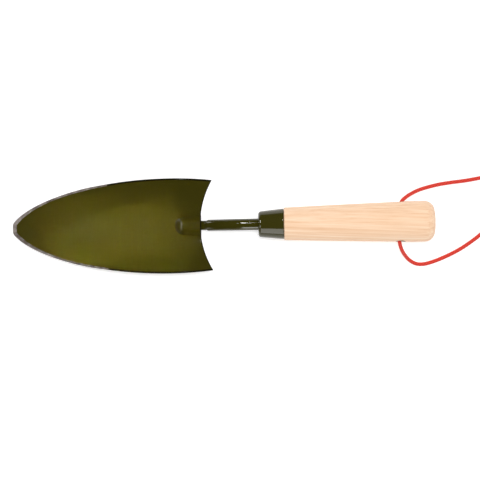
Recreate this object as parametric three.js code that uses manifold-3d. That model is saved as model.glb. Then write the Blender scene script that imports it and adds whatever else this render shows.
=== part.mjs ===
// Hand transplanter: a pressed steel blade on a cranked steel tang, a painted ferrule, a turned ash
// handle and a hanging cord through a cross hole near the handle's end.
//
// Frame, in millimetres: +X runs from the blade's tip to the handle's butt, +Z is up out of the
// blade's scoop, and the tool is mirror-symmetric about Y = 0 apart from its cord. The origin is
// the centre of the tool's footprint, on the surface that the tool lies on.

import * as THREE from 'three';
import { mergeVertices } from 'three/addons/utils/BufferGeometryUtils.js';
import Module from 'manifold-3d';

const wasm = await Module();
wasm.setup();

// Whole tool
const LENGTH = 325;
const TIP_X = -LENGTH / 2;
const BUTT_X = LENGTH / 2;
const GAP = 0.3;

// Blade outline, seen from above
const WIDEST_X = TIP_X + 121;
const WIDEST_HALF = 35.6;
const SIDE_LENGTH = 122.5;
const SIDE_FULLNESS = 0.625;
const NOSE_RADIUS = 14.5;
const NOSE_FLAT_HALF = 2.5;
const SHOULDER_RADIUS = 326;
const CORNER_X = TIP_X + 154.4;
const BACK_RADIUS = 65;
const BACK_CENTRE_X = -18;
const BACK_STRAIGHT_X = -17.4;

// Blade section
const SHEET = 1.6;
const DISH_RADIUS = 46.2;
const TIP_LIFT = 2.5;
const TIP_LIFT_LENGTH = 80;
const GRIND_LENGTH = 75;
const GRIND_WIDTH_TIP = 3.3;
const GRIND_WIDTH_SIDE = 0.9;
const GRIND_EDGE = 0.5;

// Boss pressed up over the tang's end
const BOSS_NOSE_X = -37.7;
const BOSS_NOSE_LENGTH = 7.4;
const BOSS_HALF = 7.4;
const BOSS_HALF_BACK = 8.8;
const BOSS_HEIGHT = 6.2;
const BOSS_HEIGHT_BACK = 7.9;

// Tang: [x, height of its centre]
const TANG_PATH = [
  [-31, 3.1], [-25, 3.2], [-20, 3.55], [-17, 3.95], [-12, 5.6], [-7, 9], [-1, 13],
  [4, 15], [8, 15.55], [12, 15.65], [27, 15.65], [60, 15.65], [106, 15.65],
];
// Tang: [x, radius]
const TANG_RADII = [
  [-31, 2.1], [-30, 2.7], [-25, 2.8], [-18.2, 3.6], [-12.7, 3.75], [-11.2, 4.4], [26, 4.5],
  [30, 4.5], [98, 1.5], [106, 0.8],
];
const TANG_SIDES = 16;

// Weld beads under the boss
const BEAD_RADIUS = 0.8;
const BEAD_LENGTH = 12;
const BEAD_X = -24.5;
const BEAD_Y = 4.3;
const BEAD_Z = 1.5;

// Handle and ferrule
const HANDLE_RADIUS = 15.65;
const AXIS_Z = HANDLE_RADIUS;
const FERRULE_FRONT_X = 26.7;
const FERRULE_BACK_X = 46.2;
const FERRULE_FRONT_RADIUS = 10.05;
const FERRULE_BACK_RADIUS = 11.8;
const FERRULE_WALL = 1.2;
const FERRULE_EDGE = 2.3;
const TANG_HOLE_RADIUS = 4.5 + GAP;
const NECK_WOOD_RADIUS = 12.5;
const WIDE_WOOD_X = 145;
const BUTT_CORNER = 7.8;
const BUTT_FLAT_RADIUS = 6.5;
const BORE_END_X = 108.5;
const BORE_END_RADIUS = 1.5;

// Hanging hole and cord
const HOLE_X = 135.7;
const HOLE_RADIUS = 3.5;
const HOLE_MOUTH = 15.3;
const HOLE_TILT = -0.096;
const CORD_DIAMETER = 3;
const CORD_SIDES = 8;
const CORD_Z = CORD_DIAMETER / 2 + 0.15;
const KNOT = { x: 255, y: 32.3, heading: 0.3, long: 6.6, wide: 6, high: 4.6 };

// Cord centreline from the middle of the cross hole to the knot: [x, y, z]
const LOWER_ROUTE = [
  [134.9, -0.3, AXIS_Z], [134.8, -8, AXIS_Z + 0.8], [134.9, -15.5, 16], [136.4, -20.9, 12.4],
  [139.3, -25.8, 7.6], [143.3, -30, 3.4], [148.4, -32.7, CORD_Z], [154, -33, CORD_Z],
  [162, -31, CORD_Z], [171.5, -27.3, CORD_Z], [181, -22.7, CORD_Z], [190, -17.1, CORD_Z],
  [198, -11.2, CORD_Z], [210, -0.2, CORD_Z], [222, 10.8, CORD_Z], [234, 20.8, CORD_Z],
  [241.5, 25.7, 2.3], [247.4, 28.6, 3.6],
];
const UPPER_ROUTE = [
  [134.9, 0.3, AXIS_Z], [135.6, 8, AXIS_Z - 0.8], [137.3, 15.6, 14.1], [141.2, 19.2, 11.6],
  [146, 22, 8], [151.5, 24.4, 4.4], [158.4, 26.4, 2.1], [167.5, 28.4, CORD_Z],
  [177, 29.7, CORD_Z], [187, 30.8, CORD_Z], [197, 32.4, CORD_Z], [211, 35.2, CORD_Z],
  [225, 36.6, CORD_Z], [236, 35.7, CORD_Z], [242.5, 34.2, 2.5], [247, 33.3, 4],
];
const TAIL_A = [[262.2, 33.5, 2.9], [266.4, 34.3, CORD_Z], [271.5, 36.7, CORD_Z], [276, 40.9, CORD_Z]];
const TAIL_B = [[259.6, 37.9, 2.9], [262.6, 41.3, CORD_Z], [264.6, 45.7, CORD_Z], [265, 50.8, CORD_Z]];

function material(color, roughness, metalness) {
  return new THREE.MeshStandardMaterial({ color, roughness, metalness });
}

const OLIVE_PAINT = material(0x4a4417, 0.3, 0.2);
const WELD_PAINT = material(0x3d3915, 0.45, 0.2);
const ASH = material(0xf3d1ad, 0.6, 0);
const RED_CORD = material(0xd8483b, 0.7, 0);

// Straight-line value at x in a list of [x, value].
function valueAt(table, x) {
  const next = table.findIndex(([at]) => at >= x);
  if (next === 0) return table[0][1];
  if (next < 0) return table.at(-1)[1];
  const [x0, v0] = table[next - 1];
  const [x1, v1] = table[next];
  return v0 + ((v1 - v0) * (x - x0)) / (x1 - x0);
}

function arcDrop(radius, offset) {
  return radius - Math.sqrt(Math.max(0, radius ** 2 - offset ** 2));
}

// Half the blade's width at x, between the tip and the back corners.
function halfWidth(x) {
  const forward = WIDEST_X - x;
  if (forward < 0) return WIDEST_HALF - arcDrop(SHOULDER_RADIUS, forward);
  const side = WIDEST_HALF * (1 - (forward / SIDE_LENGTH) ** 2) ** SIDE_FULLNESS;
  const fromTip = x - TIP_X + arcDrop(NOSE_RADIUS, NOSE_FLAT_HALF);
  if (fromTip >= NOSE_RADIUS) return side;
  return Math.min(side, Math.sqrt(NOSE_RADIUS ** 2 - (NOSE_RADIUS - fromTip) ** 2));
}

function backEdgeX(y) {
  return Math.max(BACK_STRAIGHT_X, BACK_CENTRE_X + arcDrop(BACK_RADIUS, y));
}

// Height of the boss above the dish.
function bossHeight(x, y) {
  const noseEnd = BOSS_NOSE_X + BOSS_NOSE_LENGTH;
  const along = THREE.MathUtils.clamp((x - noseEnd) / (BACK_STRAIGHT_X - noseEnd), 0, 1);
  const half = THREE.MathUtils.lerp(BOSS_HALF, BOSS_HALF_BACK, along ** 2);
  const height = THREE.MathUtils.lerp(BOSS_HEIGHT, BOSS_HEIGHT_BACK, along ** 2);
  const nose = Math.max(0, (noseEnd - x) / BOSS_NOSE_LENGTH);
  const reach = Math.hypot(y / half, nose);
  return height * Math.max(0, 1 - reach ** 3) ** 1.5;
}

// Height of the sheet's upper face.
function sheetHeight(x, y) {
  const nearTip = Math.max(0, 1 - (x - TIP_X) / TIP_LIFT_LENGTH);
  return SHEET + arcDrop(DISH_RADIUS, y) + TIP_LIFT * nearTip ** 2 + bossHeight(x, y);
}

function sheetNormal(x, y) {
  const step = 0.05;
  const dx = (sheetHeight(x + step, y) - sheetHeight(x - step, y)) / (2 * step);
  const dy = (sheetHeight(x, y + step) - sheetHeight(x, y - step)) / (2 * step);
  return new THREE.Vector3(-dx, -dy, 1).normalize();
}

// Width of the ground strip along the front edge, by distance from the tip.
function grindWidth(x) {
  const along = (x - TIP_X) / GRIND_LENGTH;
  if (along > 1) return 0;
  return GRIND_WIDTH_SIDE + (GRIND_WIDTH_TIP - GRIND_WIDTH_SIDE) * Math.max(0, 1 - 2 * along) ** 2;
}

// How much of the upper face has been ground away at a point this far inside the outline.
function grindDepth(x, inside) {
  const width = grindWidth(x);
  if (width === 0) return 0;
  const fade = Math.min(1, (1 - (x - TIP_X) / GRIND_LENGTH) * 4);
  return (SHEET - GRIND_EDGE) * fade * Math.max(0, 1 - inside / width);
}

// Stations from the back edge to the tip: the outline's x, and how much of the back edge's curve
// the station keeps.
function bladeStations() {
  const list = [];
  const backLength = 34;
  const backSteps = 16;
  const frontSteps = 19;
  const joinX = CORNER_X - backLength;
  for (let i = 0; i < backSteps; i += 1) {
    list.push(CORNER_X - (backLength * i) / backSteps);
  }
  for (let i = 0; i <= frontSteps; i += 1) {
    list.push(TIP_X + (joinX - TIP_X) * (1 - Math.sin((Math.PI / 2) * (i / frontSteps))));
  }
  return list.map((x) => ({ x, curve: THREE.MathUtils.smoothstep(x, -75, CORNER_X) }));
}

// Places across the blade, as fractions of the half width, close together over the boss.
function bladeFractions(half, grind) {
  const inner = [0, 1.4, 2.8, 4.1, 5.3, 6.4, 7.4, 8.6].map((y) => y / WIDEST_HALF);
  const outer = [0.34, 0.48, 0.62, 0.76, 0.88];
  const rim = Math.max(0.92, 1 - Math.max(grind, 0.6) / half);
  const right = [...inner, ...outer, rim, 1];
  return [...right.slice(1).reverse().map((f) => -f), ...right];
}

function bladeGeometry() {
  const stations = bladeStations();
  const upper = [];
  const lower = [];
  for (const { x: outlineX, curve } of stations) {
    const half = halfWidth(outlineX);
    for (const fraction of bladeFractions(half, grindWidth(outlineX))) {
      const y = fraction * half;
      const x = outlineX - curve * (CORNER_X - backEdgeX(y));
      const face = new THREE.Vector3(x, y, sheetHeight(x, y));
      const normal = sheetNormal(x, y);
      const inside = half - Math.abs(y);
      upper.push(face.clone().addScaledVector(normal, -grindDepth(outlineX, inside)));
      lower.push(face.clone().addScaledVector(normal, -SHEET));
    }
  }
  return shellGeometry(upper, lower, stations.length);
}

// A closed shell between two grids of points with the same rows and columns.
function shellGeometry(upper, lower, rows) {
  const columns = upper.length / rows;
  const offset = upper.length;
  const at = (row, column) => row * columns + column;
  const faces = [];
  const quad = (a, b, c, d) => faces.push(a, b, c, a, c, d);
  for (let r = 0; r < rows - 1; r += 1) {
    for (let c = 0; c < columns - 1; c += 1) {
      const [p, q, s, t] = [at(r, c), at(r, c + 1), at(r + 1, c + 1), at(r + 1, c)];
      quad(p, q, s, t);
      quad(p + offset, t + offset, s + offset, q + offset);
    }
  }
  const rim = [];
  for (let c = 0; c < columns - 1; c += 1) rim.push(at(0, c));
  for (let r = 0; r < rows - 1; r += 1) rim.push(at(r, columns - 1));
  for (let c = columns - 1; c > 0; c -= 1) rim.push(at(rows - 1, c));
  for (let r = rows - 1; r > 0; r -= 1) rim.push(at(r, 0));
  rim.forEach((here, i) => {
    const next = rim[(i + 1) % rim.length];
    quad(next, here, here + offset, next + offset);
  });
  const geometry = new THREE.BufferGeometry();
  const positions = [...upper, ...lower].flatMap((p) => p.toArray());
  geometry.setAttribute('position', new THREE.Float32BufferAttribute(positions, 3));
  geometry.setIndex(faces);
  return geometry;
}

// A rod of changing radius along a curve in the XZ plane.
function rodGeometry(path, radii, sides, steps) {
  const curve = new THREE.CatmullRomCurve3(path.map(([x, z]) => new THREE.Vector3(x, 0, z)));
  const positions = [];
  const faces = [];
  const side = new THREE.Vector3(0, 1, 0);
  for (let i = 0; i <= steps; i += 1) {
    const centre = curve.getPointAt(i / steps);
    const up = new THREE.Vector3().crossVectors(curve.getTangentAt(i / steps), side);
    const radius = valueAt(radii, centre.x);
    for (let j = 0; j < sides; j += 1) {
      const angle = (2 * Math.PI * j) / sides;
      const point = centre.clone();
      point.addScaledVector(side, radius * Math.cos(angle));
      point.addScaledVector(up, radius * Math.sin(angle));
      positions.push(...point.toArray());
    }
  }
  for (let i = 0; i < steps; i += 1) {
    for (let j = 0; j < sides; j += 1) {
      const a = i * sides + j;
      const b = i * sides + ((j + 1) % sides);
      faces.push(a, b, a + sides, b, b + sides, a + sides);
    }
  }
  const last = steps * sides;
  for (let j = 1; j < sides - 1; j += 1) {
    faces.push(0, j + 1, j);
    faces.push(last, last + j, last + j + 1);
  }
  const geometry = new THREE.BufferGeometry();
  geometry.setAttribute('position', new THREE.Float32BufferAttribute(positions, 3));
  geometry.setIndex(faces);
  return geometry;
}

// Points of a quarter arc of the profile, from one angle to another, as [radius, x].
function profileArc(centreRadius, centreX, radius, from, to, steps) {
  return Array.from({ length: steps + 1 }, (_, i) => {
    const angle = from + ((to - from) * i) / steps;
    return [centreRadius + radius * Math.sin(angle), centreX + radius * Math.cos(angle)];
  });
}

// A body turned about the handle's axis from a profile of [radius, x].
function turned(profile, sides) {
  const points = profile.map(([radius, x]) => new THREE.Vector2(radius, x));
  const geometry = new THREE.LatheGeometry(points, sides);
  geometry.rotateZ(-Math.PI / 2);
  geometry.translate(0, 0, AXIS_Z);
  return geometry;
}

function ferruleGeometry() {
  const edgeX = FERRULE_FRONT_X + FERRULE_EDGE;
  const innerX = FERRULE_FRONT_X + FERRULE_WALL;
  const profile = [
    [TANG_HOLE_RADIUS, innerX],
    [FERRULE_FRONT_RADIUS - FERRULE_WALL, innerX],
    [FERRULE_BACK_RADIUS - FERRULE_WALL, FERRULE_BACK_X],
    [FERRULE_BACK_RADIUS, FERRULE_BACK_X],
    ...profileArc(FERRULE_FRONT_RADIUS - FERRULE_EDGE, edgeX, FERRULE_EDGE, Math.PI / 2, Math.PI, 5),
    [TANG_HOLE_RADIUS, FERRULE_FRONT_X],
    [TANG_HOLE_RADIUS, innerX],
  ];
  return turned(profile.reverse(), 36);
}

function handleProfile() {
  const spigotX = FERRULE_FRONT_X + FERRULE_WALL + GAP;
  const shoulderX = FERRULE_BACK_X + GAP;
  const spigotFront = FERRULE_FRONT_RADIUS - FERRULE_WALL - GAP;
  const spigotBack = FERRULE_BACK_RADIUS - FERRULE_WALL - GAP;
  const cornerX = BUTT_X - BUTT_CORNER - GAP;
  return [
    [0, BORE_END_X],
    [BORE_END_RADIUS, BORE_END_X - 1],
    [TANG_HOLE_RADIUS + GAP, spigotX],
    [spigotFront, spigotX],
    [spigotBack, shoulderX],
    [NECK_WOOD_RADIUS - 0.6, shoulderX],
    [NECK_WOOD_RADIUS, shoulderX + 0.6],
    [HANDLE_RADIUS - 1.1, 110],
    [HANDLE_RADIUS, WIDE_WOOD_X],
    ...profileArc(HANDLE_RADIUS - BUTT_CORNER, cornerX, BUTT_CORNER, Math.PI / 2, 0.2, 7),
    [BUTT_FLAT_RADIUS, BUTT_X],
    [0, BUTT_X],
  ];
}

function solidFrom(geometry) {
  const bare = geometry.clone();
  bare.deleteAttribute('normal');
  bare.deleteAttribute('uv');
  const merged = mergeVertices(bare, 1e-4);
  const vertProperties = new Float32Array(merged.attributes.position.array);
  const triVerts = new Uint32Array(merged.index.array);
  return new wasm.Manifold(new wasm.Mesh({ numProp: 3, vertProperties, triVerts }));
}

function geometryFrom(solid) {
  const mesh = solid.getMesh();
  const geometry = new THREE.BufferGeometry();
  geometry.setAttribute('position', new THREE.Float32BufferAttribute(mesh.vertProperties, 3));
  geometry.setIndex(new THREE.Uint32BufferAttribute(mesh.triVerts, 1));
  geometry.computeVertexNormals();
  return geometry;
}

// The turned handle with the cross hole for the cord, slightly flared at both mouths and a little
// higher at its right mouth than at its left one.
function handleGeometry() {
  const flare = HOLE_RADIUS + 1.4;
  const profile = [
    [0, -HANDLE_RADIUS - 1], [flare, -HANDLE_RADIUS - 1], [HOLE_RADIUS, -HOLE_MOUTH + 0.8],
    [HOLE_RADIUS, HOLE_MOUTH - 0.8], [flare, HANDLE_RADIUS + 1], [0, HANDLE_RADIUS + 1],
  ];
  const points = profile.map(([radius, y]) => new THREE.Vector2(radius, y));
  const drill = new THREE.LatheGeometry(points, 20);
  drill.rotateX(HOLE_TILT);
  drill.translate(HOLE_X, 0, AXIS_Z);
  return geometryFrom(solidFrom(turned(handleProfile(), 44)).subtract(solidFrom(drill)));
}

function cordGeometry(route, steps) {
  const section = new THREE.Shape();
  for (let i = 0; i < CORD_SIDES; i += 1) {
    const angle = (2 * Math.PI * i) / CORD_SIDES;
    const x = (CORD_DIAMETER / 2) * Math.cos(angle);
    const y = (CORD_DIAMETER / 2) * Math.sin(angle);
    if (i === 0) section.moveTo(x, y);
    else section.lineTo(x, y);
  }
  section.closePath();
  const extrudePath = new THREE.CatmullRomCurve3(route.map((p) => new THREE.Vector3(...p)));
  return new THREE.ExtrudeGeometry(section, { steps, bevelEnabled: false, extrudePath });
}

function knotGeometry() {
  const geometry = new THREE.SphereGeometry(1, 14, 9);
  geometry.scale(KNOT.long, KNOT.wide, KNOT.high);
  geometry.rotateZ(KNOT.heading);
  geometry.translate(KNOT.x, KNOT.y, KNOT.high + 0.02);
  return geometry;
}

function beadGeometry(side) {
  const geometry = new THREE.CapsuleGeometry(BEAD_RADIUS, BEAD_LENGTH, 3, 10);
  geometry.rotateZ(Math.PI / 2);
  geometry.translate(BEAD_X, side * BEAD_Y, BEAD_Z);
  return geometry;
}

const transplanter = new THREE.Group();

function addPiece(name, geometry, look) {
  const mesh = new THREE.Mesh(geometry, look);
  mesh.name = name;
  transplanter.add(mesh);
}

addPiece('blade', bladeGeometry(), OLIVE_PAINT);
addPiece('tang', rodGeometry(TANG_PATH, TANG_RADII, TANG_SIDES, 44), OLIVE_PAINT);
addPiece('weld_bead_left', beadGeometry(1), WELD_PAINT);
addPiece('weld_bead_right', beadGeometry(-1), WELD_PAINT);
addPiece('ferrule', ferruleGeometry(), OLIVE_PAINT);
addPiece('handle', handleGeometry(), ASH);
addPiece('cord_lower_run', cordGeometry(LOWER_ROUTE, 26), RED_CORD);
addPiece('cord_upper_run', cordGeometry(UPPER_ROUTE, 24), RED_CORD);
addPiece('cord_knot', knotGeometry(), RED_CORD);
addPiece('cord_tail_a', cordGeometry(TAIL_A, 5), RED_CORD);
addPiece('cord_tail_b', cordGeometry(TAIL_B, 5), RED_CORD);

export default transplanter;
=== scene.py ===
"""Hand transplanter: the looks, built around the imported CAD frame. Metres, +Z up.

+X runs from the blade's tip to the handle's butt. Lengths written in millimetres are multiplied
by MM where they are used.
"""

import math

import bpy
import numpy as np
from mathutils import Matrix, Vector


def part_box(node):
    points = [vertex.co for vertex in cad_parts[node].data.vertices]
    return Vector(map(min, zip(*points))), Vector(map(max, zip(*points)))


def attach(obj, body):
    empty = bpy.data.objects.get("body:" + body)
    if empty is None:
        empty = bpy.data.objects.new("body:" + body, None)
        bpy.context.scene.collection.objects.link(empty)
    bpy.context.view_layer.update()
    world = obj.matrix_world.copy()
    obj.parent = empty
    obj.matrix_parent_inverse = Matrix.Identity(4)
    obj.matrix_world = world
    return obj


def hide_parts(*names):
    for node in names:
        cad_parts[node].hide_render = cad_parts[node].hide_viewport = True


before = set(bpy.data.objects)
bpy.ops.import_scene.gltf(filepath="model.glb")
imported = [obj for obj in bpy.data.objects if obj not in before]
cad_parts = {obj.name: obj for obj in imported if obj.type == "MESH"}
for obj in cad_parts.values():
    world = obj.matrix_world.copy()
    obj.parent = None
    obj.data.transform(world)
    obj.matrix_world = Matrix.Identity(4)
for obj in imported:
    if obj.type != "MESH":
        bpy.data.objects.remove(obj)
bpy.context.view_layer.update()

MM = 0.001

# Places taken from the frame
HANDLE_LOW, HANDLE_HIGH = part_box("handle")
FERRULE_LOW, FERRULE_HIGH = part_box("ferrule")
BLADE_LOW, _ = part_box("blade")
TIP_X = BLADE_LOW.x
BUTT_X = HANDLE_HIGH.x
HANDLE_RADIUS = (HANDLE_HIGH.y - HANDLE_LOW.y) / 2
AXIS_Z = (HANDLE_HIGH.z + HANDLE_LOW.z) / 2
GAP = 0.3 * MM

# Camera
VIEW_WIDTH = 368.6 * MM
VIEW_CENTRE = (12.45 * MM, -11.8 * MM)
VIEW_ROLL = math.radians(-1.07)
CAMERA_HEIGHT = 2.2
SENSOR = 36

# Blade
WIDEST_X = TIP_X + 121 * MM
WIDEST_HALF = 35.6 * MM
SIDE_LENGTH = 122.5 * MM
SIDE_FULLNESS = 0.625
NOSE_RADIUS = 14.5 * MM
NOSE_FLAT_HALF = 2.5 * MM
SHOULDER_RADIUS = 326 * MM
CORNER_X = TIP_X + 154.4 * MM
BACK_RADIUS = 65 * MM
BACK_CENTRE_X = -18 * MM
BACK_STRAIGHT_X = -17.4 * MM
BACK_CURVE_REACH = 67 * MM
SHEET = 1.6 * MM
DISH_RADIUS = 46.2 * MM
TIP_LIFT = 2.5 * MM
TIP_LIFT_LENGTH = 80 * MM
GRIND_LENGTH = 75 * MM
GRIND_WIDTH_TIP = 3.3 * MM
GRIND_WIDTH_SIDE = 0.9 * MM
GRIND_EDGE = 0.5 * MM
EDGE_ROUND = 0.7 * MM
BOSS_NOSE_X = -37.7 * MM
BOSS_NOSE_LENGTH = 7.4 * MM
BOSS_HALF = 7.4 * MM
BOSS_HALF_BACK = 8.8 * MM
BOSS_HEIGHT = 6.2 * MM
BOSS_HEIGHT_BACK = 7.9 * MM

# Tang: centre line as (x, z), and radius as (x, radius), in millimetres
TANG_PATH = [
    (-31, 3.1), (-25, 3.2), (-20, 3.55), (-17, 3.95), (-12, 5.6), (-7, 9), (-1, 13),
    (4, 15), (8, 15.55), (12, 15.65), (27, 15.65), (60, 15.65), (106, 15.65),
]
TANG_RADII = [
    (-31, 0.6), (-30.8, 1.7), (-30, 2.6), (-29, 2.75), (-25, 2.8), (-18.2, 3.6), (-13.2, 3.73),
    (-12.6, 3.85), (-11.9, 4.25), (-11.2, 4.4), (26, 4.5), (30, 4.5), (98, 1.5), (106, 0.8),
]

# Cord: the routes are those of the CAD solids, in millimetres
CORD_DIAMETER = 3 * MM
CORD_Z = 1.65
BORE_Z = AXIS_Z / MM
HOLE_X = 135.7 * MM
HOLE_RADIUS = 3.5 * MM
HOLE_TILT = 0.096
# Reach of the painted shadow inside the cross hole
HOLE_SHADOW_REACH = 4.1 * MM
LOWER_ROUTE = [
    (134.9, -0.3, BORE_Z), (134.8, -8, BORE_Z + 0.8), (134.9, -15.5, 16), (136.4, -20.9, 12.4),
    (139.3, -25.8, 7.6), (143.3, -30, 3.4), (148.4, -32.7, CORD_Z), (154, -33, CORD_Z),
    (162, -31, CORD_Z), (171.5, -27.3, CORD_Z), (181, -22.7, CORD_Z), (190, -17.1, CORD_Z),
    (198, -11.2, CORD_Z), (210, -0.2, CORD_Z), (222, 10.8, CORD_Z), (234, 20.8, CORD_Z),
    (241.5, 25.7, 2.3), (247.4, 28.6, 3.6),
]
UPPER_ROUTE = [
    (134.9, 0.3, BORE_Z), (135.6, 8, BORE_Z - 0.8), (137.3, 15.6, 14.1), (141.2, 19.2, 11.6),
    (146, 22, 8), (151.5, 24.4, 4.4), (158.4, 26.4, 2.1), (167.5, 28.4, CORD_Z),
    (177, 29.7, CORD_Z), (187, 30.8, CORD_Z), (197, 32.4, CORD_Z), (211, 35.2, CORD_Z),
    (225, 36.6, CORD_Z), (236, 35.7, CORD_Z), (242.5, 34.2, 2.5), (247, 33.3, 4),
]
TAIL_A = [(262.2, 33.5, 2.9), (266.4, 34.3, CORD_Z), (271.5, 36.7, CORD_Z), (276, 40.9, CORD_Z)]
TAIL_B = [(259.6, 37.9, 2.9), (262.6, 41.3, CORD_Z), (264.6, 45.7, CORD_Z), (265, 50.8, CORD_Z)]
KNOT_CENTRE = (255, 32.3, 4.65)
KNOT_HEADING = 0.3
KNOT_SCALE = 0.62 * CORD_DIAMETER
KNOT_RISE = 0.6 * CORD_DIAMETER
KNOT_STRAND_LIFT = 0.4
KNOT_OPENING = 0.75
BRAID_PITCH = 2.6 * MM
BRAID_STRANDS = 8
BRAID_CORE = 0.94
BRAID_RELIEF = 0.09
STRAND_SHARPNESS = 0.7
STRAND_UNDER = 0.35

# Paint colours, dark and light. The neck and ferrule look darker than the blade in the photograph,
# so theirs are darker, though the real tool surely has one paint: their darker colours are painted
# shade.
BLADE_ENAMEL = ((0.053, 0.045, 0.0032), (0.058, 0.0495, 0.0038))
SHADED_NECK_ENAMEL = ((0.031, 0.0275, 0.002), (0.036, 0.0315, 0.0025))
# Nearly black, painted shade for the dark outline of the blade's edges; not a real coat of paint
EDGE_PAINTED_SHADE = (0.012, 0.01, 0.002)
# Painted shadow inside the cross hole
HOLE_PAINTED_SHADOW = (0.09, 0.035, 0.016)

# Sockets of Blender's mix node that take and give colours
MIX_FACTOR, MIX_A, MIX_B, MIX_RESULT = 0, 6, 7, 2


# ---------------------------------------------------------------- camera, floor and lights


def make_camera():
    data = bpy.data.cameras.new("camera")
    data.sensor_width = SENSOR
    distance = CAMERA_HEIGHT - AXIS_Z
    data.lens = SENSOR * distance / VIEW_WIDTH
    data.clip_end = 20
    camera = bpy.data.objects.new("camera", data)
    camera.location = (*VIEW_CENTRE, CAMERA_HEIGHT)
    camera.rotation_euler = (0, 0, VIEW_ROLL)
    bpy.context.scene.collection.objects.link(camera)
    bpy.context.scene.camera = camera


def make_floor():
    size = 6
    mesh = bpy.data.meshes.new("floor")
    corners = [(-size, -size, 0), (size, -size, 0), (size, size, 0), (-size, size, 0)]
    mesh.from_pydata(corners, [], [(0, 1, 2, 3)])
    floor = bpy.data.objects.new("floor", mesh)
    floor.location.z = -0.0004
    bpy.context.scene.collection.objects.link(floor)
    material = bpy.data.materials.new("floor_white")
    material.use_nodes = True
    shader = material.node_tree.nodes["Principled BSDF"]
    shader.inputs["Base Color"].default_value = (0.86, 0.86, 0.86, 1)
    shader.inputs["Roughness"].default_value = 0.9
    shader.inputs["Emission Color"].default_value = (1, 1, 1, 1)
    shader.inputs["Emission Strength"].default_value = 0.4
    mesh.materials.append(material)


def area_light(name, place, target, size, power, lights, spread=180, only=(), but=()):
    """A rectangular light for matt or for gloss reflections.

    It lights every piece, or only the named pieces, or all but the named pieces.
    """
    data = bpy.data.lights.new(name, "AREA")
    data.shape = "RECTANGLE"
    data.size, data.size_y = size
    data.energy = power
    data.spread = math.radians(spread)
    light = bpy.data.objects.new(name, data)
    light.location = place
    direction = Vector(target) - Vector(place)
    light.rotation_euler = direction.to_track_quat("-Z", "Y").to_euler()
    light.visible_diffuse = lights == "matt"
    light.visible_glossy = lights == "gloss"
    bpy.context.scene.collection.objects.link(light)
    if only or but:
        lit = bpy.data.collections.new(name + "_lights")
        for piece in (*only, *but):
            lit.objects.link(bpy.data.objects[piece])
        for entry in lit.collection_objects:
            entry.light_linking.link_state = "INCLUDE" if only else "EXCLUDE"
        light.light_linking.receiver_collection = lit


def make_world():
    """An even white surround that shows in no reflection."""
    world = bpy.data.worlds.new("studio")
    world.use_nodes = True
    background = world.node_tree.nodes["Background"]
    background.inputs["Color"].default_value = (1, 1, 1, 1)
    background.inputs["Strength"].default_value = 0.55
    world.cycles_visibility.glossy = False
    bpy.context.scene.world = world


def make_lights():
    """Lights tuned together with the paint to the photograph, most of them for named pieces only."""
    area_light(
        "front_softbox",
        (-0.1, -1.0, 0.55),
        (-0.1, 0, 0.01),
        (0.9, 0.95),
        10,
        "gloss",
        only=["ferrule_cup"],
    )
    area_light(
        "neck_strip",
        (0.02, -1.0, 0.4),
        (0.02, 0, 0.01),
        (0.03, 0.6),
        0.4,
        "gloss",
        only=["tang_rod"],
    )
    area_light("back_strip", (0.008, 0.5, 0.85), (0.008, 0, 0.01), (0.02, 0.1), 0.6, "gloss")
    for y, power in ((0.3, 7), (-0.28, 2.5)):
        area_light(
            "corner_spot",
            (-0.62, y, 0.6),
            (-0.03, 0, 0.01),
            (0.3, 0.14),
            power,
            "gloss",
            only=["blade_pressed", "ferrule_cup"],
        )
    blade = ["blade_pressed"]
    place, target, size = (0.1, 0.15, 1.7), (0, 0, 0), (0.5, 0.5)
    area_light("key", place, target, size, 18.6, "matt", but=blade)
    area_light("blade_key", place, target, size, 8.5, "matt", only=blade)
    for x in (-0.06, -0.108):
        area_light(
            "blade_pool",
            (x, -0.009, 0.8),
            (x, -0.009, 0),
            (0.03, 0.03),
            0.0105,
            "matt",
            spread=6,
            only=blade,
        )


# ---------------------------------------------------------------- mesh helpers


def new_piece(name, points, faces, material):
    mesh = bpy.data.meshes.new(name)
    mesh.from_pydata([tuple(p) for p in points], [], faces)
    mesh.polygons.foreach_set("use_smooth", [True] * len(mesh.polygons))
    mesh.materials.append(material)
    mesh.update()
    piece = bpy.data.objects.new(name, mesh)
    bpy.context.scene.collection.objects.link(piece)
    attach(piece, "root")
    return piece


def add_attribute(piece, name, values):
    attribute = piece.data.attributes.new(name, "FLOAT", "POINT")
    attribute.data.foreach_set("value", np.asarray(values, np.float32))


def arc_drop(radius, offset):
    return radius - np.sqrt(np.maximum(0, radius**2 - offset**2))


def smooth_step(low, high, x):
    t = np.clip((x - low) / (high - low), 0, 1)
    return t * t * (3 - 2 * t)


def smooth_line(points, step):
    """Points a step apart on a smooth curve through these points, in metres."""
    control = [Vector(p) * MM for p in points]
    control = [2 * control[0] - control[1], *control, 2 * control[-1] - control[-2]]
    fine = []
    for a, b, c, d in zip(control, control[1:], control[2:], control[3:]):
        t1 = (b - a).length ** 0.5
        t2 = t1 + (c - b).length ** 0.5
        t3 = t2 + (d - c).length ** 0.5
        for i in range(24):
            t = t1 + (t2 - t1) * i / 24
            p = a.lerp(b, t / t1)
            q = b.lerp(c, (t - t1) / (t2 - t1))
            r = c.lerp(d, (t - t2) / (t3 - t2))
            u = p.lerp(q, t / t2)
            v = q.lerp(r, (t - t1) / (t3 - t1))
            fine.append(u.lerp(v, (t - t1) / (t2 - t1)))
    fine.append(control[-2])
    fine = np.array(fine)
    lengths = np.concatenate([[0], np.cumsum(np.linalg.norm(np.diff(fine, axis=0), axis=1))])
    places = np.linspace(0, lengths[-1], max(2, round(lengths[-1] / step)) + 1)
    return np.stack([np.interp(places, lengths, fine[:, k]) for k in range(3)], axis=1)


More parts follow.
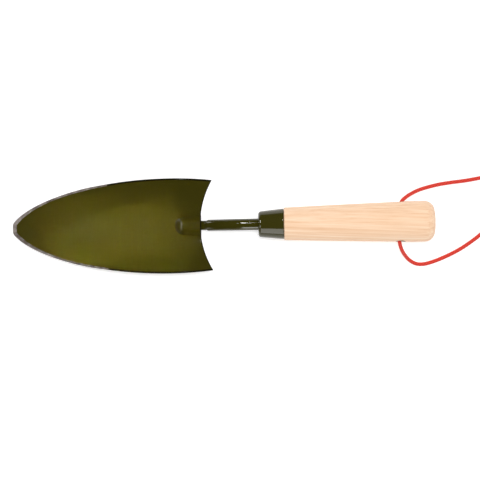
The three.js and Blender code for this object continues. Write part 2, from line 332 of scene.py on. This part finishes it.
def line_frames(line):
    """Side and up at each point of a line, turning as little as possible along it."""
    tangents = np.gradient(line, axis=0)
    tangents /= np.linalg.norm(tangents, axis=1)[:, None]
    start = np.array([0, 0, 1.0])
    if abs(tangents[0][2]) > 0.9:
        start = np.array([0, 1.0, 0])
    ups = []
    up = start
    for tangent in tangents:
        up = up - tangent * np.dot(up, tangent)
        up = up / np.linalg.norm(up)
        ups.append(up)
    ups = np.array(ups)
    return np.cross(ups, tangents), ups


def tube_points(line, radii, angles):
    """Points of a tube about a line, from radii that depend on the point and on the angle."""
    sideways, ups = line_frames(line)
    around = (
        np.cos(angles)[None, :, None] * sideways[:, None, :]
        + np.sin(angles)[None, :, None] * ups[:, None, :]
    )
    return (line[:, None, :] + around * radii[..., None]).reshape(-1, 3)


def ring_faces(rings, sides, cap_start=True, cap_end=True):
    faces = []
    for i in range(rings - 1):
        for j in range(sides):
            k = (j + 1) % sides
            faces.append((i * sides + j, i * sides + k, (i + 1) * sides + k, (i + 1) * sides + j))
    if cap_start:
        faces.append(tuple(reversed(range(sides))))
    if cap_end:
        faces.append(tuple(range((rings - 1) * sides, rings * sides)))
    return faces


def turned_points(profile, sides):
    """Points of a body turned about the handle's axis, from a profile of (radius, x)."""
    angles = 2 * np.pi * np.arange(sides) / sides
    points = []
    for radius, x in profile:
        ring = np.stack(
            [np.full(sides, x), radius * np.cos(angles), AXIS_Z + radius * np.sin(angles)], axis=1
        )
        points.append(ring)
    return np.concatenate(points)


def arc_profile(centre_radius, centre_x, radius, start, end, steps):
    """Points of an arc of a profile; angle 0 points along +X and 90 degrees outwards."""
    angles = np.radians(np.linspace(start, end, steps + 1))
    return [(centre_radius + radius * math.sin(a), centre_x + radius * math.cos(a)) for a in angles]


# ---------------------------------------------------------------- blade


def half_width(x):
    forward = WIDEST_X - x
    ratio = np.clip(forward / SIDE_LENGTH, 0, 1)
    front = WIDEST_HALF * (1 - ratio**2) ** SIDE_FULLNESS
    from_tip = x - TIP_X + arc_drop(NOSE_RADIUS, NOSE_FLAT_HALF)
    inside = np.clip(NOSE_RADIUS - from_tip, 0, NOSE_RADIUS)
    nose = np.sqrt(np.maximum(0, NOSE_RADIUS**2 - inside**2))
    front = np.where(from_tip < NOSE_RADIUS, np.minimum(front, nose), front)
    back = WIDEST_HALF - arc_drop(SHOULDER_RADIUS, forward)
    return np.where(forward < 0, back, front)


def back_edge_x(y):
    return np.maximum(BACK_STRAIGHT_X, BACK_CENTRE_X + arc_drop(BACK_RADIUS, y))


def boss_height(x, y):
    nose_end = BOSS_NOSE_X + BOSS_NOSE_LENGTH
    along = np.clip((x - nose_end) / (BACK_STRAIGHT_X - nose_end), 0, 1) ** 2
    half = BOSS_HALF + (BOSS_HALF_BACK - BOSS_HALF) * along
    height = BOSS_HEIGHT + (BOSS_HEIGHT_BACK - BOSS_HEIGHT) * along
    nose = np.maximum(0, (nose_end - x) / BOSS_NOSE_LENGTH)
    reach = np.hypot(y / half, nose)
    return height * np.maximum(0, 1 - reach**3) ** 1.5


def sheet_height(x, y):
    """Height of the sheet's upper face."""
    near_tip = np.maximum(0, 1 - (x - TIP_X) / TIP_LIFT_LENGTH)
    return SHEET + arc_drop(DISH_RADIUS, y) + TIP_LIFT * near_tip**2 + boss_height(x, y)


def sheet_normals(x, y):
    step = 0.05 * MM
    dx = (sheet_height(x + step, y) - sheet_height(x - step, y)) / (2 * step)
    dy = (sheet_height(x, y + step) - sheet_height(x, y - step)) / (2 * step)
    normals = np.stack([-dx, -dy, np.ones_like(dx)], axis=-1)
    return normals / np.linalg.norm(normals, axis=-1)[..., None]


def blade_stations():
    """Outline x of each row of the blade's grid, from the back edge to the tip."""
    rim = CORNER_X - np.array([0, 0.1, 0.25, 0.45, 0.7, 1.0]) * MM
    back = np.linspace(CORNER_X - 1.4 * MM, CORNER_X - 36 * MM, 90)
    t = np.linspace(0, 1, 110)[1:]
    front = TIP_X + (back[-1] - TIP_X) * (1 - np.sin(np.pi / 2 * t))
    return np.concatenate([rim, back, front])


def blade_columns(half):
    """Places across one row, from the middle outwards, dense over the boss and near the edge."""
    boss = np.linspace(0, 0.3, 30)[:-1]
    field = np.linspace(0.3, 1, 26)[:-1]
    spread = np.concatenate([boss, field])
    rim_width = np.minimum(5 * MM, 0.5 * half)
    inner = half - rim_width
    rim = np.array([1.0, 0.85, 0.72, 0.6, 0.5, 0.4, 0.3, 0.22, 0.15, 0.1, 0.06, 0.03, 0.01, 0])
    right = np.concatenate([spread * inner, half - rim * rim_width])
    return np.concatenate([-right[:0:-1], right])


def grind_width(x):
    along = (x - TIP_X) / GRIND_LENGTH
    wide = np.maximum(0, 1 - 2 * along) ** 2
    width = GRIND_WIDTH_SIDE + (GRIND_WIDTH_TIP - GRIND_WIDTH_SIDE) * wide
    return np.where(along < 1, width, 0.0001 * MM)


def blade_grid():
    """The blade's grid: each row's outline x, each point's x and y, and each row's half width."""
    stations = blade_stations()
    halves = half_width(stations)
    y = np.stack([blade_columns(half) for half in halves])
    curve = smooth_step(CORNER_X - BACK_CURVE_REACH, CORNER_X, stations)[:, None]
    outline = np.repeat(stations[:, None], y.shape[1], axis=1)
    x = outline - curve * (CORNER_X - back_edge_x(y))
    return stations, halves, outline, x, y


def make_blade(material):
    """The pressed sheet, with its distances from the edges stored for the paint."""
    stations, halves, outline, x, y = blade_grid()
    rows, columns = y.shape
    slope = np.gradient(halves, stations)[:, None]
    tilt = DISH_RADIUS / np.sqrt(DISH_RADIUS**2 - y**2)
    side = (halves[:, None] - np.abs(y)) / np.sqrt(1 + slope**2) * tilt
    front = outline - TIP_X
    back = back_edge_x(y) - x
    inside = np.maximum(0, np.minimum(np.minimum(side, front), back))
    ground = np.minimum(side, front) / grind_width(outline)
    fade = smooth_step(GRIND_LENGTH, 0.75 * GRIND_LENGTH, outline - TIP_X)
    ground_depth = (SHEET - GRIND_EDGE) * fade * np.maximum(0, 1 - ground)
    round_off = SHEET / 2 * (1 - np.sqrt(1 - np.maximum(0, 1 - inside / EDGE_ROUND) ** 2))
    lower_round = round_off * (1 - fade * (ground < 1))
    upper_round = round_off * (1 - 0.75 * fade)
    face = np.stack([x, y, sheet_height(x, y)], axis=-1)
    normals = sheet_normals(x, y)
    upper = face - normals * np.maximum(ground_depth, upper_round)[..., None]
    lower = face - normals * (SHEET - lower_round)[..., None]
    points = np.concatenate([upper.reshape(-1, 3), lower.reshape(-1, 3)])
    faces = shell_faces(rows, columns)
    blade = new_piece("blade_pressed", points, faces, material)
    far, under = 9, 2.5
    bare = np.where(outline - TIP_X < GRIND_LENGTH, ground, far)
    add_attribute(blade, "ground", np.concatenate([bare.ravel(), bare.ravel() * under]))
    edge = inside / MM
    add_attribute(blade, "inside", np.concatenate([edge.ravel(), edge.ravel()]))
    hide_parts("blade")


def shell_faces(rows, columns):
    """Faces of a closed shell between an upper and a lower grid of points."""
    offset = rows * columns
    faces = []
    for r in range(rows - 1):
        for c in range(columns - 1):
            p = r * columns + c
            q = p + columns
            faces.append((p, p + 1, q + 1, q))
            faces.append((p + offset, q + offset, q + 1 + offset, p + 1 + offset))
    rim = list(range(columns - 1))
    rim += [r * columns + columns - 1 for r in range(rows - 1)]
    rim += [(rows - 1) * columns + c for c in range(columns - 1, 0, -1)]
    rim += [r * columns for r in range(rows - 1, 0, -1)]
    for here, after in zip(rim, rim[1:] + rim[:1]):
        faces.append((after, here, here + offset, after + offset))
    return faces


# ---------------------------------------------------------------- tang, welds and ferrule


def make_tang(material):
    line = smooth_line([(x, 0, z) for x, z in TANG_PATH], 0.5 * MM)
    at = [x * MM for x, _ in TANG_RADII]
    radii = np.interp(line[:, 0], at, [radius * MM for _, radius in TANG_RADII])
    sides = 40
    angles = 2 * np.pi * np.arange(sides) / sides
    points = tube_points(line, radii[:, None], angles)
    tang = new_piece("tang_rod", points, ring_faces(len(line), sides), material)
    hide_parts("tang")


def make_weld(node, material):
    low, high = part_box(node)
    centre = (low + high) / 2
    radius = (high.z - low.z) / 2
    length = high.x - low.x
    rings, sides = 90, 20
    taper = 0.12
    ripples, ripple_depth = 13, 0.13
    points = []
    for i in range(rings):
        t = i / (rings - 1)
        end = math.sqrt(max(0.02, 1 - max(0, abs(2 * t - 1) - (1 - taper)) ** 2 / taper**2))
        ripple = 1 - ripple_depth * (0.5 + 0.5 * math.cos(2 * math.pi * ripples * t)) ** 2
        for j in range(sides):
            angle = 2 * math.pi * j / sides
            reach = radius * end * ripple
            y = centre.y + reach * math.cos(angle)
            z = centre.z + reach * math.sin(angle)
            points.append((low.x + length * t, y, z))
    weld = new_piece(node + "_rippled", points, ring_faces(rings, sides), material)
    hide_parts(node)


def make_ferrule(material):
    front_x, back_x = FERRULE_LOW.x, FERRULE_HIGH.x
    front_radius = 10.05 * MM
    back_radius = (FERRULE_HIGH.y - FERRULE_LOW.y) / 2
    wall = 1.2 * MM
    edge = 2.3 * MM
    hole = 4.8 * MM
    lip = 0.45 * MM
    inner_x = front_x + wall
    outer = arc_profile(front_radius - edge, front_x + edge, edge, 180, 90, 14)
    rim = arc_profile(back_radius - lip, back_x - lip, lip, 90, 0, 6)
    cone_start = front_x + edge
    cone_length = back_x - lip - front_x - edge
    middle = [
        (front_radius + (back_radius - front_radius) * t, cone_start + cone_length * t)
        for t in np.linspace(0.04, 0.97, 16)
    ]
    inside = [(back_radius - wall, back_x), (front_radius - wall, inner_x), (hole, inner_x)]
    profile = [(hole, front_x), *outer, *middle, *rim, *inside]
    sides = 96
    points = turned_points(profile, sides)
    faces = ring_faces(len(profile), sides, False, False)
    last = (len(profile) - 1) * sides
    for j in range(sides):
        k = (j + 1) % sides
        faces.append((last + j, last + k, k, j))
    faces = [tuple(reversed(face)) for face in faces]
    ferrule = new_piece("ferrule_cup", points, faces, material)
    sharpen(ferrule, 40)
    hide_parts("ferrule")


def sharpen(piece, degrees):
    """Edges bent by more than this angle are shaded sharp."""
    piece.data.set_sharp_from_angle(angle=math.radians(degrees))


# ---------------------------------------------------------------- handle


def handle_profile():
    """The handle's outside and blind bore, as (radius, x)."""
    shoulder_x = FERRULE_HIGH.x + GAP
    spigot_x = HANDLE_LOW.x
    neck = 12.5 * MM
    wide_x = 145 * MM
    corner = 7.8 * MM
    flat = 6.5 * MM
    butt_rise = 0.3 * MM
    near_axis = 0.02 * MM
    rounding = 0.7 * MM
    fullness = 0.035
    corner_x = BUTT_X - corner - butt_rise
    bore = [(near_axis, 108.5 * MM), (1.5 * MM, 107.5 * MM), (5.1 * MM, spigot_x)]
    spigot = [(8.55 * MM, spigot_x), (10.3 * MM, shoulder_x)]
    edge = arc_profile(neck - rounding, shoulder_x + rounding, rounding, 180, 90, 6)
    belly = []
    for t in np.linspace(0.02, 1, 40):
        swell = t + fullness * math.sin(math.pi * t)
        belly.append((neck + (HANDLE_RADIUS - neck) * swell, shoulder_x + (wide_x - shoulder_x) * t))
    round_end = arc_profile(HANDLE_RADIUS - corner, corner_x, corner, 90, 10, 20)
    butt = [(flat, BUTT_X), (0.5 * flat, BUTT_X), (near_axis, BUTT_X)]
    return [*bore, *spigot, *edge, *belly, *round_end, *butt]


def make_hole_cutter():
    """A round cutter along Y with flared ends, sheared to the slope of the cross hole."""
    reach = HANDLE_RADIUS + 1 * MM
    sides = 64
    mouth = 14.9 * MM
    flare = 0.9 * MM
    profile = [(5.2 * MM, -reach)]
    profile += [
        (HOLE_RADIUS + flare * (1 - t) ** 2, -reach + (reach - mouth + flare) * t)
        for t in np.linspace(0.2, 1, 8)
    ]
    profile += [(radius, -y) for radius, y in reversed(profile)]
    points = []
    for radius, y in profile:
        for j in range(sides):
            angle = 2 * math.pi * j / sides
            rise = radius * math.cos(angle) - HOLE_TILT * y
            points.append((HOLE_X + radius * math.sin(angle), y, AXIS_Z + rise))
    mesh = bpy.data.meshes.new("hole_cutter")
    mesh.from_pydata(points, [], ring_faces(len(profile), sides))
    cutter = bpy.data.objects.new("hole_cutter", mesh)
    bpy.context.scene.collection.objects.link(cutter)
    return cutter


def cut(piece, cutter):
    """Cuts one mesh from another for good and removes the cutter."""
    modifier = piece.modifiers.new("cut", "BOOLEAN")
    modifier.operation = "DIFFERENCE"
    modifier.solver = "EXACT"
    modifier.object = cutter
    graph = bpy.context.evaluated_depsgraph_get()
    mesh = bpy.data.meshes.new_from_object(piece.evaluated_get(graph))
    piece.modifiers.clear()
    piece.data = mesh
    bpy.data.objects.remove(cutter)


def make_handle(material):
    profile = handle_profile()
    sides = 128
    points = turned_points(profile, sides)
    faces = ring_faces(len(profile), sides)
    faces = [tuple(reversed(face)) for face in faces]
    handle = new_piece("handle_turned", points, faces, material)
    cut(handle, make_hole_cutter())
    sharpen(handle, 35)
    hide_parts("handle")


# ---------------------------------------------------------------- cord


def braid_height(turns, along):
    """Height from 0 to 1 of a round braid: two sets of strands that pass over and under."""
    u = BRAID_STRANDS / 2 * turns + along
    v = BRAID_STRANDS / 2 * turns - along
    ridge_u = np.abs(np.cos(np.pi * u)) ** STRAND_SHARPNESS
    ridge_v = np.abs(np.cos(np.pi * v)) ** STRAND_SHARPNESS
    over = 0.5 + 0.5 * np.sin(np.pi * (u + v)) * np.sin(np.pi * (u - v))
    rise = 1 - STRAND_UNDER
    return np.maximum(
        ridge_u * (STRAND_UNDER + rise * over), ridge_v * (STRAND_UNDER + rise * (1 - over))
    )


def braided_tube(name, line, material, round_end=False):
    """A braided cord along a line of closely spaced points."""
    sides = 28
    along = np.concatenate([[0], np.cumsum(np.linalg.norm(np.diff(line, axis=0), axis=1))])
    turns = np.arange(sides) / sides
    height = braid_height(turns[None, :], along[:, None] / BRAID_PITCH)
    radius = CORD_DIAMETER / 2 * (BRAID_CORE + BRAID_RELIEF * height)
    if round_end:
        to_end = (along[-1] - along) / (0.4 * CORD_DIAMETER)
        radius = radius * np.sqrt(np.clip(to_end, 0.05, 1))[:, None]
    points = tube_points(line, radius, 2 * np.pi * turns)
    piece = new_piece(name, points, ring_faces(len(line), sides), material)
    add_attribute(piece, "braid", height.ravel())
    return piece


def knot_lines():
    """Centre lines of the two strands of an overhand knot, from each run's end to a tail."""
    cos, sin = math.cos(KNOT_HEADING), math.sin(KNOT_HEADING)
    t = np.linspace(math.pi + KNOT_OPENING, 3 * math.pi - KNOT_OPENING, 60)
    x = -(np.sin(t) + 2 * np.sin(2 * t)) * KNOT_SCALE
    y = (np.cos(t) - 2 * np.cos(2 * t)) * KNOT_SCALE
    z = -np.sin(3 * t) * KNOT_RISE
    loop = np.stack([x * cos - y * sin, x * sin + y * cos, z], axis=1)
    lines = []
    for run, tail, lift in (
        (LOWER_ROUTE, TAIL_A, -KNOT_STRAND_LIFT),
        (UPPER_ROUTE, TAIL_B, KNOT_STRAND_LIFT),
    ):
        strand = loop / MM + np.array(KNOT_CENTRE) + (0, 0, lift * CORD_DIAMETER / MM)
        if np.linalg.norm(strand[0] - run[-1]) > np.linalg.norm(strand[-1] - run[-1]):
            strand = strand[::-1]
        lines.append(smooth_line([run[-1], *strand, tail[0]], 0.15 * MM))
    return lines


def make_cords(material):
    knots = []
    for number, line in enumerate(knot_lines()):
        piece = braided_tube(f"cord_knot_strand_{number + 1}", line, material)
        knots.append(piece)
    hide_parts("cord_knot")
    tails = []
    for name, route in (("cord_tail_a", TAIL_A), ("cord_tail_b", TAIL_B)):
        tail = braided_tube(name + "_braided", smooth_line(route, 0.3 * MM), material, True)
        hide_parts(name)
        tails.append(tail)
    for name, route, with_pieces in (
        ("cord_lower_run", LOWER_ROUTE, [*knots, *tails]),
        ("cord_upper_run", UPPER_ROUTE, []),
    ):
        line = smooth_line(route, 0.3 * MM)
        run = braided_tube(name + "_braided", line, material)
        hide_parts(name)


# ---------------------------------------------------------------- materials


def node(tree, kind, **values):
    """Adds a node and sets its properties."""
    made = tree.nodes.new(kind)
    for key, value in values.items():
        setattr(made, key, value)
    return made


def ramp(tree, source, stops):
    """A colour ramp of (position, colour or grey) stops, fed by source."""
    made = tree.nodes.new("ShaderNodeValToRGB")
    elements = made.color_ramp.elements
    while len(elements) < len(stops):
        elements.new(0.5)
    for element, (position, colour) in zip(elements, stops):
        element.position = position
        if not isinstance(colour, tuple):
            colour = (colour, colour, colour)
        element.color = (*colour, 1)
    tree.links.new(source, made.inputs["Fac"])
    return made.outputs["Color"]


def mix(tree, factor, a, b):
    """Colour mix; factor, a and b are sockets, numbers or colours."""
    made = tree.nodes.new("ShaderNodeMix")
    made.data_type = "RGBA"
    for index, value in ((MIX_FACTOR, factor), (MIX_A, a), (MIX_B, b)):
        socket = made.inputs[index]
        if isinstance(value, bpy.types.NodeSocket):
            tree.links.new(value, socket)
        elif index == MIX_FACTOR:
            socket.default_value = value
        else:
            socket.default_value = (*value, 1)
    return made.outputs[MIX_RESULT]


def new_material(name):
    material = bpy.data.materials.new(name)
    material.use_nodes = True
    tree = material.node_tree
    return material, tree, tree.nodes["Principled BSDF"]


def noise(tree, scale, detail=3, roughness=0.5, stretch=(1, 1, 1), turn=(0, 0, 0)):
    """Noise in object coordinates, with its scale per metre, turned and then stretched."""
    place = node(tree, "ShaderNodeTexCoord")
    turned = node(tree, "ShaderNodeMapping")
    turned.inputs["Rotation"].default_value = turn
    mapping = node(tree, "ShaderNodeMapping")
    mapping.inputs["Scale"].default_value = stretch
    texture = node(tree, "ShaderNodeTexNoise")
    texture.inputs["Scale"].default_value = scale
    texture.inputs["Detail"].default_value = detail
    texture.inputs["Roughness"].default_value = roughness
    tree.links.new(place.outputs["Object"], turned.inputs["Vector"])
    tree.links.new(turned.outputs["Vector"], mapping.inputs["Vector"])
    tree.links.new(mapping.outputs["Vector"], texture.inputs["Vector"])
    return texture.outputs["Fac"]


def bump(tree, height, distance, strength):
    made = tree.nodes.new("ShaderNodeBump")
    made.inputs["Strength"].default_value = strength
    made.inputs["Distance"].default_value = distance
    tree.links.new(height, made.inputs["Height"])
    return made.outputs["Normal"]


def olive_paint(name, dark, light):
    """Glossy olive enamel with faint orange peel and slow changes of tone."""
    material, tree, shader = new_material(name)
    tone = noise(tree, 22, detail=4, roughness=0.6)
    speck = noise(tree, 900, detail=2)
    base = ramp(tree, tone, [(0.2, dark), (0.8, light)])
    fleck = ramp(tree, speck, [(0.2, (0.03, 0.025, 0.003)), (0.8, (0.1, 0.085, 0.012))])
    base = mix(tree, 0.06, base, fleck)
    tree.links.new(base, shader.inputs["Base Color"])
    rough = ramp(tree, noise(tree, 60), [(0.2, 0.42), (0.8, 0.5)])
    tree.links.new(rough, shader.inputs["Roughness"])
    shader.inputs["Specular IOR Level"].default_value = 0.03
    shader.inputs["Coat Weight"].default_value = 0.8
    shader.inputs["Coat Roughness"].default_value = 0.05
    peel = bump(tree, noise(tree, 420, detail=2, roughness=0.4), 0.06 * MM, strength=0.1)
    tree.links.new(peel, shader.inputs["Normal"])
    tree.links.new(peel, shader.inputs["Coat Normal"])
    return material, tree, shader


def blade_paint():
    """The blade's enamel, with painted shade darkening it towards its edges and with bare, brushed
    steel on its ground edge.
    """
    material, tree, paint = olive_paint("olive_paint_blade", *BLADE_ENAMEL)
    inside = node(tree, "ShaderNodeAttribute", attribute_name="inside")
    # Painted shade: the enamel darkens to nearly black within about a millimetre of the blade's
    # edges
    painted_edge_shade = ramp(tree, inside.outputs["Fac"], [(0.6, 1.0), (0.95, 0.0)])
    base = paint.inputs["Base Color"].links[0].from_socket
    tree.links.new(mix(tree, painted_edge_shade, base, EDGE_PAINTED_SHADE), paint.inputs["Base Color"])
    coat = ramp(tree, inside.outputs["Fac"], [(0.6, 0.15), (0.95, 0.8)])
    tree.links.new(coat, paint.inputs["Coat Weight"])
    steel = node(tree, "ShaderNodeBsdfPrincipled")
    scratches = noise(tree, 500, 4, 0.6, stretch=(1, 6, 6), turn=(0, 0, 0.6))
    stain = noise(tree, 160, roughness=0.6)
    colour = ramp(tree, scratches, [(0.3, (0.10, 0.085, 0.075)), (0.65, (0.33, 0.29, 0.265))])
    colour = mix(tree, ramp(tree, stain, [(0.42, 0), (0.62, 0.85)]), colour, (0.07, 0.05, 0.04))
    tree.links.new(colour, steel.inputs["Base Color"])
    steel.inputs["Metallic"].default_value = 0.2
    steel.inputs["Specular IOR Level"].default_value = 0.1
    steel.inputs["Roughness"].default_value = 0.6
    tree.links.new(bump(tree, scratches, 0.1 * MM, strength=0.5), steel.inputs["Normal"])
    ground = node(tree, "ShaderNodeAttribute", attribute_name="ground")
    ragged = node(tree, "ShaderNodeMath", operation="ADD")
    wobble = node(tree, "ShaderNodeMath", operation="MULTIPLY_ADD")
    wobble.inputs[1].default_value = 0.5
    wobble.inputs[2].default_value = -0.25
    tree.links.new(noise(tree, 450, roughness=0.6), wobble.inputs[0])
    tree.links.new(ground.outputs["Fac"], ragged.inputs[0])
    tree.links.new(wobble.outputs[0], ragged.inputs[1])
    mask = ramp(tree, ragged.outputs[0], [(0.93, 1.0), (1.0, 0.0)])
    both = node(tree, "ShaderNodeMixShader")
    tree.links.new(mask, both.inputs[0])
    tree.links.new(paint.outputs[0], both.inputs[1])
    tree.links.new(steel.outputs[0], both.inputs[2])
    tree.links.new(both.outputs[0], tree.nodes["Material Output"].inputs["Surface"])
    return material


def near_hole(tree):
    """1 inside the cross hole and 0 away from it, for the painted shadow there."""
    place = node(tree, "ShaderNodeTexCoord")
    centred = node(tree, "ShaderNodeMapping")
    centred.inputs["Location"].default_value = (-HOLE_X, 0, -AXIS_Z)
    level = node(tree, "ShaderNodeMapping")
    level.inputs["Rotation"].default_value = (HOLE_TILT, 0, 0)
    flat = node(tree, "ShaderNodeVectorMath", operation="MULTIPLY")
    flat.inputs[1].default_value = (1 / HOLE_SHADOW_REACH, 0, 1 / HOLE_SHADOW_REACH)
    distance = node(tree, "ShaderNodeVectorMath", operation="LENGTH")
    tree.links.new(place.outputs["Object"], centred.inputs["Vector"])
    tree.links.new(centred.outputs["Vector"], level.inputs["Vector"])
    tree.links.new(level.outputs["Vector"], flat.inputs[0])
    tree.links.new(flat.outputs["Vector"], distance.inputs[0])
    return ramp(tree, distance.outputs["Value"], [(0.9, 1.0), (1.0, 0.0)])


def ash_wood():
    """Pale ash with straight lengthwise grain, open pores and slow changes of tone, and painted
    shadow inside the cross hole.
    """
    material, tree, shader = new_material("ash_wood")
    turn = (0, 0, math.radians(3))
    streak = noise(tree, 470, 5, 0.6, stretch=(0.018, 1, 1), turn=turn)
    fine = noise(tree, 1500, 3, 0.6, stretch=(0.014, 1, 1), turn=turn)
    band = noise(tree, 90, 2, 0.5, stretch=(0.03, 1, 1), turn=turn)
    base = ramp(
        tree,
        streak,
        [
            (0.34, (0.74, 0.44, 0.25)),
            (0.45, (0.84, 0.55, 0.35)),
            (0.56, (0.91, 0.65, 0.45)),
            (0.68, (0.94, 0.73, 0.54)),
        ],
    )
    thread = ramp(tree, fine, [(0.35, (0.76, 0.46, 0.27)), (0.6, (0.95, 0.74, 0.55))])
    base = mix(tree, 0.35, base, thread)
    base = mix(tree, ramp(tree, band, [(0.35, 0.3), (0.65, 0)]), base, (0.84, 0.55, 0.35))
    # Painted shadow: dark brown inside the cross hole
    base = mix(tree, near_hole(tree), base, HOLE_PAINTED_SHADOW)
    tree.links.new(base, shader.inputs["Base Color"])
    shader.inputs["Roughness"].default_value = 0.55
    shader.inputs["Specular IOR Level"].default_value = 0.35
    pores = ramp(tree, fine, [(0.3, 0), (0.5, 1)])
    tree.links.new(bump(tree, pores, 0.12 * MM, strength=0.35), shader.inputs["Normal"])
    return material


def red_cord():
    """Red braid, with painted shade between its strands."""
    material, tree, shader = new_material("red_cord")
    braid = node(tree, "ShaderNodeAttribute", attribute_name="braid")
    # Painted shade: darker red where the braid is low, between the strands
    base = ramp(tree, braid.outputs["Fac"], [(0.3, (0.5, 0.018, 0.01)), (0.75, (0.78, 0.05, 0.028))])
    fibres = noise(tree, 2200, roughness=0.6)
    base = mix(tree, ramp(tree, fibres, [(0.4, 0.0), (0.7, 0.3)]), base, (0.88, 0.11, 0.065))
    tree.links.new(base, shader.inputs["Base Color"])
    shader.inputs["Roughness"].default_value = 0.6
    shader.inputs["Sheen Weight"].default_value = 0.05
    tree.links.new(bump(tree, fibres, 0.2 * MM, strength=0.3), shader.inputs["Normal"])
    return material


# ---------------------------------------------------------------- the whole scene

bpy.context.scene.view_settings.view_transform = "Standard"
make_camera()
cord_material = red_cord()
make_cords(cord_material)
make_floor()
# Painted shade: the neck, welds and ferrule take a darker copy of the blade's paint
paint, _, _ = olive_paint("olive_paint", *SHADED_NECK_ENAMEL)
make_blade(blade_paint())
make_tang(paint)
make_weld("weld_bead_left", paint)
make_weld("weld_bead_right", paint)
make_ferrule(paint)
make_handle(ash_wood())
make_world()
make_lights()
